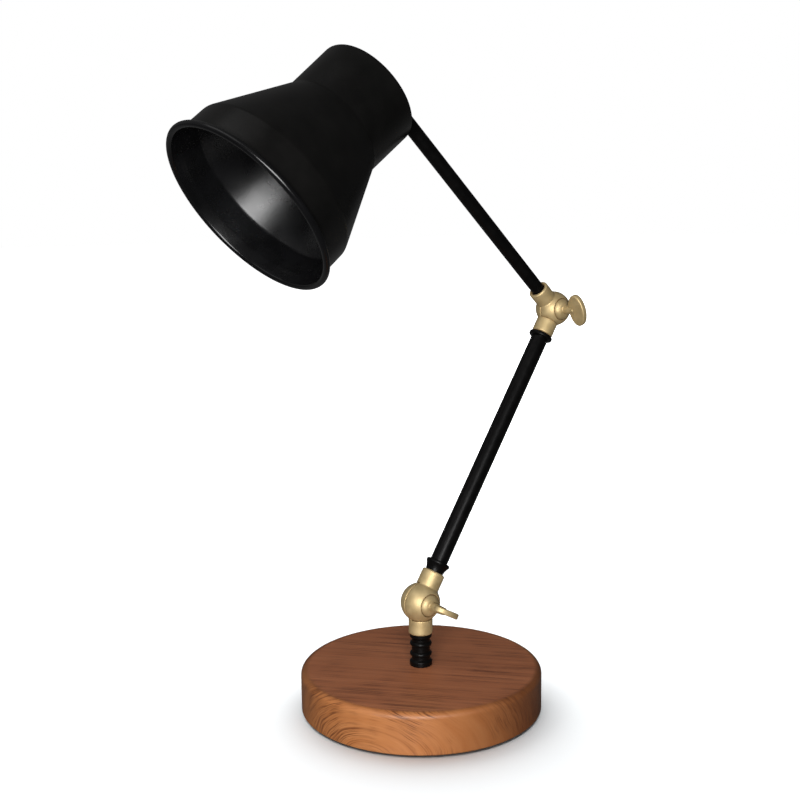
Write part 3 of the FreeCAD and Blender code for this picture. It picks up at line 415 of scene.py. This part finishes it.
def soft_casting(node_name, body, material, voxel, smoothing, wing_angle=0.0):
    """A piece with its construction shape, but with the soft edges of a casting.

    A wing's angle about its screw turns it square to the voxels while it is remeshed.
    """
    source = nodes[node_name]
    mesh = source.data.copy()
    casting = bpy.data.objects.new(node_name + "_cast", mesh)
    scene.collection.objects.link(casting)
    work = bmesh.new()
    work.from_mesh(mesh)
    bmesh.ops.remove_doubles(work, verts=work.verts, dist=0.002 * MM)
    work.to_mesh(mesh)
    work.free()
    mesh.transform(Matrix.Rotation(-wing_angle, 4, "Y"))
    remesh = casting.modifiers.new("remesh", "REMESH")
    remesh.mode = "VOXEL"
    remesh.voxel_size = voxel
    remesh.use_smooth_shade = True
    soften = casting.modifiers.new("soften", "SMOOTH")
    soften.factor = 0.5
    soften.iterations = smoothing
    settle(casting)
    casting.data.transform(Matrix.Rotation(wing_angle, 4, "Y"))
    casting.data.materials.clear()
    casting.data.materials.append(material)
    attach(casting, body)
    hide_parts(node_name)
    return casting


def tarnish_and_shade(material, painted_shade, depth):
    """Painted shade in the hollows, by how enclosed they are, tinted brown like tarnish."""
    tree = material.node_tree
    shader = next(item for item in tree.nodes if item.type == "BSDF_PRINCIPLED")
    clean = shader.inputs["Base Color"].links[0].from_socket
    occlusion = add_node(tree, "ShaderNodeAmbientOcclusion", {"Distance": depth}, samples=8)
    share = ramp(tree, occlusion.outputs["AO"], 0.35, 0.95, 0.75, 0.0)
    tree.links.new(mixed(tree, share, clean, (*painted_shade, 1)), shader.inputs["Base Color"])


brass = finish("satin_brass", (0.490, 0.368, 0.180), (0.580, 0.448, 0.235), (0.50, 0.60),
               0.005, 0.00050, 0.00001, Metallic=0.62)
# The brass gets painted shade in its hollows, tinted brown like tarnish.
tarnish_and_shade(brass, (0.30, 0.165, 0.060), 4.0 * MM)
for name, body in (("lower_knuckle_back_half", "base"), ("lower_knuckle_front_half", "lower_arm"),
                   ("elbow_knuckle_back_half", "lower_arm"),
                   ("elbow_knuckle_front_half", "upper_arm")):
    soft_casting(name, body, brass, CAST_VOXEL, CAST_SMOOTHING)
red_fibre = finish("red_fibre", (0.20, 0.035, 0.018), (0.30, 0.060, 0.030), (0.55, 0.70),
                   0.002, 0.0004, 0.00005)
dress("lower_friction_washer", red_fibre)
dress("elbow_friction_washer", red_fibre)

# Wing screws: cast brass, with a domed flange that seats in the front half and a flat oval wing.
SCREW_VOXEL = 0.25 * MM
SCREW_SMOOTHING = 7
LOWER_WING_ANGLE = math.radians(28.7)
ELBOW_WING_ANGLE = math.radians(-107.0)
soft_casting("lower_wing_screw", "lower_wing", brass, SCREW_VOXEL, SCREW_SMOOTHING,
             LOWER_WING_ANGLE)
soft_casting("elbow_wing_screw", "elbow_wing", brass, SCREW_VOXEL, SCREW_SMOOTHING,
             ELBOW_WING_ANGLE)

# Arms: two steel tubes sprayed satin black. The lower one stands in a bell and ends in a flange.
for name in ("lower_arm_bottom_ferrule", "lower_arm_tube", "lower_arm_top_ferrule",
             "upper_arm_tube"):
    dress(name, enamel)

# Head swivel: a tongue plugged into the arm between the ears of a fork, on a slotted screw.
SWIVEL_VOXEL = 0.30 * MM
soft_casting("head_swivel_tongue", "upper_arm", enamel, SWIVEL_VOXEL, 3)
soft_casting("head_swivel_fork", "head", enamel, SWIVEL_VOXEL, 3)
dress("head_pivot_screw", zinc_steel)
dress("head_pivot_nut", zinc_steel)

# Shade: a bell spun from one disc of steel, with a straight neck, a cone, a straight band and
# its rim rolled into a bead. It is sprayed satin black outside, and has a little more gloss
# inside and round the bead.
HEAD_LEAN = math.radians(-90 - 38.6)
pivots = {joint["name"]: Vector(joint["pos_m"])
          for joint in frame["record"]["behaviour"]["joints"]}
SHADE_PLACE = (Matrix.Translation(pivots["head_tilt"]) @ Matrix.Rotation(HEAD_LEAN, 4, "Y")
               @ Matrix.Translation((0, 0, 9.0 * MM)))
SHADE_SIZES = {
    "Hole radius": 5.25, "Wall": 1.0, "Length": 120.7,
    "End radius": 38.1, "End rounding": 3.6,
    "Neck radius": 37.5, "Neck length": 40.3, "Neck rounding": 6.0,
    "Band length": 23.1, "Band back radius": 61.7, "Band front radius": 61.9,
    "Shoulder rounding": 7.0, "Flare length": 7.0, "Bead radius": 2.17, "Bead crease": 0.5,
}
SHADE_STEPS = 180
CORNER_STEPS = 7
SWEEP_RADIUS = 1.0
INNER_POINT = 0.8


def spun_bell_tree():
    """A bell of revolution: its closed outline, with rounded corners, swept round the axis."""
    tree = bpy.data.node_groups.new("spun_bell", "GeometryNodeTree")
    for name in SHADE_SIZES:
        tree.interface.new_socket(name, in_out="INPUT", socket_type="NodeSocketFloat")
    for name in ("Outside", "Inside", "Rim"):
        tree.interface.new_socket(name, in_out="INPUT", socket_type="NodeSocketMaterial")
    tree.interface.new_socket("Geometry", in_out="OUTPUT", socket_type="NodeSocketGeometry")
    size = add_node(tree, "NodeGroupInput").outputs

    def total(first, second):
        return calculated(tree, "ADD", first, second)

    def less(first, second):
        return calculated(tree, "SUBTRACT", first, second)

    def times(first, second):
        return calculated(tree, "MULTIPLY", first, second)

    wall = size["Wall"]
    length = size["Length"]
    bead = size["Bead radius"]
    shoulder = less(length, size["Band length"])
    flare = less(length, size["Flare length"])
    front = size["Band front radius"]
    bead_outside = total(front, total(bead, bead))
    bead_front = total(length, bead)
    bead_back = less(length, bead)
    corners = [
        (size["Hole radius"], wall, 0.0),
        (less(size["End radius"], wall), wall, less(size["End rounding"], wall)),
        (less(size["Neck radius"], wall), size["Neck length"], total(size["Neck rounding"], wall)),
        (less(size["Band back radius"], wall), shoulder, less(size["Shoulder rounding"], wall)),
        (less(front, wall), flare, size["Shoulder rounding"]),
        (front, bead_front, bead),
        (bead_outside, bead_front, bead),
        (bead_outside, bead_back, bead),
        (front, bead_back, size["Bead crease"]),
        (front, flare, 0.0),
        (size["Band back radius"], shoulder, size["Shoulder rounding"]),
        (size["Neck radius"], size["Neck length"], size["Neck rounding"]),
        (size["End radius"], 0.0, size["End rounding"]),
        (size["Hole radius"], 0.0, 0.0),
    ]
    number = add_node(tree, "GeometryNodeInputIndex").outputs[0]
    places = add_node(tree, "GeometryNodeIndexSwitch", {"Index": number}, data_type="VECTOR")
    roundings = add_node(tree, "GeometryNodeIndexSwitch", {"Index": number}, data_type="FLOAT")
    for switch in (places, roundings):
        while len(switch.index_switch_items) < len(corners):
            switch.index_switch_items.new()
    for index, (radius, height, rounding) in enumerate(corners):
        corner = add_node(tree, "ShaderNodeCombineXYZ", {0: radius, 1: height})
        tree.links.new(corner.outputs[0], places.inputs[index + 1])
        if isinstance(rounding, float):
            roundings.inputs[index + 1].default_value = rounding
        else:
            tree.links.new(rounding, roundings.inputs[index + 1])
    points = add_node(tree, "GeometryNodePoints",
                      {"Count": len(corners), "Position": places.outputs[0]})
    line = add_node(tree, "GeometryNodePointsToCurves", {0: points.outputs[0]})
    closed = add_node(tree, "GeometryNodeSetSplineCyclic", {0: line.outputs[0], "Cyclic": True})
    soft = add_node(tree, "GeometryNodeFilletCurve",
                    {"Curve": closed.outputs[0], "Radius": roundings.outputs[0],
                     "Count": CORNER_STEPS, "Limit Radius": True}, mode="POLY")
    soft_place = add_node(tree, "GeometryNodeInputPosition").outputs[0]
    parts = add_node(tree, "ShaderNodeSeparateXYZ", {0: soft_place}).outputs
    sideways = add_node(tree, "ShaderNodeCombineXYZ",
                        {0: less(parts["X"], SWEEP_RADIUS), 1: less(0.0, parts["Y"])})
    outline = add_node(tree, "GeometryNodeSetPosition",
                       {"Geometry": soft.outputs[0], "Position": sideways.outputs[0]})
    path = add_node(tree, "GeometryNodeCurvePrimitiveCircle",
                    {"Resolution": SHADE_STEPS, "Radius": SWEEP_RADIUS})
    swept = add_node(tree, "GeometryNodeCurveToMesh",
                     {"Curve": path.outputs[0], "Profile Curve": outline.outputs[0]})
    scaled = add_node(tree, "GeometryNodeTransform",
                      {"Geometry": swept.outputs[0], "Scale": (MM, MM, MM)})
    smooth = add_node(tree, "GeometryNodeSetShadeSmooth", {0: scaled.outputs[0]})
    outside = add_node(tree, "GeometryNodeSetMaterial",
                       {"Geometry": smooth.outputs[0], "Material": size["Outside"]})
    on_axis = add_node(tree, "ShaderNodeCombineXYZ", {2: times(times(length, INNER_POINT), MM)})
    place = add_node(tree, "GeometryNodeInputPosition").outputs[0]
    to_face = add_node(tree, "ShaderNodeVectorMath", {0: place, 1: on_axis.outputs[0]},
                       operation="SUBTRACT")
    normal = add_node(tree, "GeometryNodeInputNormal").outputs[0]
    outward = add_node(tree, "ShaderNodeVectorMath", {0: to_face.outputs[0], 1: normal},
                       operation="DOT_PRODUCT").outputs["Value"]
    is_inside = calculated(tree, "LESS_THAN", outward, 0.0)
    inside = add_node(tree, "GeometryNodeSetMaterial",
                      {"Geometry": outside.outputs[0], "Selection": is_inside,
                       "Material": size["Inside"]})
    height = add_node(tree, "ShaderNodeSeparateXYZ", {0: place}).outputs["Z"]
    on_bead = calculated(tree, "GREATER_THAN", height, times(bead_back, MM))
    rim = add_node(tree, "GeometryNodeSetMaterial",
                   {"Geometry": inside.outputs[0], "Selection": on_bead, "Material": size["Rim"]})
    whole = add_node(tree, "GeometryNodeRealizeInstances", {"Geometry": rim.outputs[0]})
    add_node(tree, "NodeGroupOutput", {"Geometry": whole.outputs[0]})
    return tree


def grown(name, tree, values, place):
    """A plain mesh from a geometry tree, with its named inputs set, moved to its place."""
    mesh = bpy.data.meshes.new(name)
    thing = bpy.data.objects.new(name, mesh)
    scene.collection.objects.link(thing)
    modifier = thing.modifiers.new("shape", "NODES")
    modifier.node_group = tree
    identifiers = {item.name: item.identifier for item in tree.interface.items_tree
                   if item.in_out == "INPUT"}
    for label, value in values.items():
        modifier[identifiers[label]] = value
    settle(thing)
    thing.data.transform(place)
    return thing


shade_outside = finish("black_shade_enamel", (0.0026, 0.0025, 0.0024), (0.0042, 0.0040, 0.0038),
                       (0.27, 0.34), 0.02, 0.0011, 0.00002, Specular_IOR_Level=0.16)
shade_inside = finish("black_shade_lining", (0.0022, 0.0022, 0.0024), (0.0034, 0.0034, 0.0038),
                      (0.25, 0.31), 0.015, 0.0016, 0.00003, Specular_IOR_Level=0.37)
shade_rim = finish("black_shade_rim", (0.0022, 0.0022, 0.0024), (0.0034, 0.0034, 0.0038),
                   (0.18, 0.24), 0.02, 0.0016, 0.00001, Specular_IOR_Level=0.28)
shade = grown("shade_bell", spun_bell_tree(),
              dict(SHADE_SIZES, Outside=shade_outside, Inside=shade_inside, Rim=shade_rim),
              SHADE_PLACE)
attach(shade, "head")
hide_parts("shade")

# Lampholder: a black moulded case in two parts round a ceramic insert, with a riveted brass
# contact in the middle and a nickel-plated screw shell.
bakelite = finish("black_bakelite", (0.010, 0.009, 0.009), (0.016, 0.014, 0.013), (0.25, 0.35),
                  0.006, 0.0006, 0.00001)
for name in ("lampholder_cap", "lampholder_sleeve"):
    dress(name, bakelite)
ceramic = finish("white_ceramic", (0.66, 0.64, 0.60), (0.74, 0.72, 0.68), (0.22, 0.35),
                 0.004, 0.0008, 0.00002)
dress("lampholder_insert", ceramic)
dress("lampholder_centre_contact", brass)
nickel = finish("nickel_steel", (0.55, 0.53, 0.50), (0.66, 0.64, 0.60), (0.20, 0.30),
                0.003, 0.0004, 0.00001, Metallic=1.0)
dress("lampholder_screw_shell", nickel)
dress("bulb_screw_cap", nickel)

# Bulb: a small LED golf ball, with a plain white collar and an opal globe.
white_plastic = finish("white_plastic", (0.70, 0.70, 0.68), (0.76, 0.76, 0.74), (0.35, 0.45),
                       0.008, 0.0008, 0.00001)
dress("bulb_collar", white_plastic)
opal = finish("opal_plastic", (0.78, 0.78, 0.76), (0.82, 0.82, 0.80), (0.18, 0.25),
              0.012, 0.001, 0.000005, Subsurface_Weight=0.3)
dress("bulb_globe", opal)
